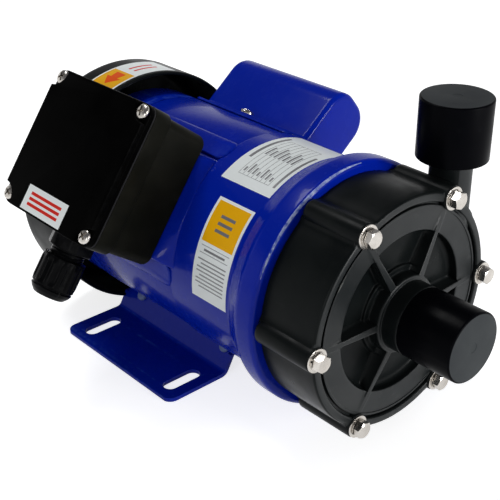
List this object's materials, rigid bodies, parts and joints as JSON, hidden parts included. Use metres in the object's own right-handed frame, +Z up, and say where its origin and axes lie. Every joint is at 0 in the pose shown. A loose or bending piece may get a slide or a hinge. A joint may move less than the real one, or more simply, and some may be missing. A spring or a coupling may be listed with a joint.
{
  "type": "magnetic drive pump",
  "caption": "Close-coupled magnetic drive pump: plastic head with capped suction and discharge ports on a fan-cooled, foot-mounted motor.",
  "frame": {"origin": "bottom centre of the whole pump's box, on the floor under the feet", "axes": "+Z up, +Y along the shaft from the pump head towards the fan, +X towards the discharge side"},
  "size_m": [0.1934, 0.2778, 0.1702],
  "materials": {
    "moulded_plastic": "satin",
    "cap_rubber": "matte",
    "seal_rubber": "matte",
    "blue_enamel": "gloss",
    "plated_steel": "satin",
    "machined_steel": "brushed",
    "laminated_steel": "dull",
    "cast_aluminium": "cast",
    "copper_winding": "varnished copper",
    "ceramic": "glazed ceramic",
    "carbon": "pressed carbon",
    "magnet_cup": "dull",
    "box_plastic": "satin",
    "capacitor_can": "drawn",
    "terminal_plastic": "matte"
  },
  "bodies": {
    "pump": {"front_casing": "moulded_plastic", "rear_casing": "moulded_plastic", "fan_cover": "moulded_plastic", "casing_o_ring": "seal_rubber", "terminal_box_pad": "seal_rubber", "lid_gasket": "seal_rubber", "gland_seal": "seal_rubber", "motor_bracket": "blue_enamel", "motor_shell": "blue_enamel", "capacitor_cover": "blue_enamel", "terminal_saddle": "blue_enamel", "foot_left": "blue_enamel", "foot_right": "blue_enamel", "motor_cradle": "blue_enamel", "foot_screw_1": "blue_enamel", "foot_screw_2": "blue_enamel", "foot_screw_3": "blue_enamel", "foot_screw_4": "blue_enamel", "casing_bolt_1": "plated_steel", "casing_bolt_2": "plated_steel", "casing_bolt_3": "plated_steel", "casing_bolt_4": "plated_steel", "casing_bolt_5": "plated_steel", "casing_bolt_6": "plated_steel", "casing_washer_1": "plated_steel", "casing_washer_2": "plated_steel", "casing_washer_3": "plated_steel", "casing_washer_4": "plated_steel", "casing_washer_5": "plated_steel", "casing_washer_6": "plated_steel", "fan_cover_screw_1": "plated_steel", "fan_cover_screw_2": "plated_steel", "fan_cover_screw_3": "plated_steel", "lid_screw_1": "plated_steel", "lid_screw_2": "plated_steel", "lid_screw_3": "plated_steel", "lid_screw_4": "plated_steel", "capacitor_screw_1": "plated_steel", "capacitor_screw_2": "plated_steel", "front_bearing": "machined_steel", "rear_bearing": "machined_steel", "stator_core": "laminated_steel", "rear_end_shield": "cast_aluminium", "stator_winding": "copper_winding", "spindle": "ceramic", "terminal_box_base": "box_plastic", "terminal_box_lid": "box_plastic", "gland_body": "box_plastic", "gland_nut": "box_plastic", "gland_locknut": "box_plastic", "capacitor": "capacitor_can", "terminal_block": "terminal_plastic"},
    "motor_rotor": {"motor_shaft": "machined_steel", "rotor": "laminated_steel", "fan": "moulded_plastic", "drive_magnet": "magnet_cup"},
    "impeller": {"impeller": "moulded_plastic", "impeller_bush": "carbon"},
    "suction_cap": {"suction_cap": "cap_rubber"},
    "discharge_cap": {"discharge_cap": "cap_rubber"}
  },
  "joints": [
    {"name": "shaft_spin", "type": "hinge", "parent": "pump", "child": "motor_rotor", "pos_m": [0.01637, 0.05235, 0.074], "axis": [0, 1, 0], "continuous": true},
    {"name": "impeller_spin", "type": "hinge", "parent": "pump", "child": "impeller", "pos_m": [0.01637, -0.07765, 0.074], "axis": [0, 1, 0], "continuous": true},
    {"name": "suction_cap_pull", "type": "slide", "parent": "pump", "child": "suction_cap", "axis": [0, -1, 0], "range_m": [0, 0.045]},
    {"name": "discharge_cap_pull", "type": "slide", "parent": "pump", "child": "discharge_cap", "axis": [0, 0, 1], "range_m": [0, 0.045]}
  ],
  "couplings": [
    {"joint": "impeller_spin", "follows": "shaft_spin", "ratio": 1}
  ]
}
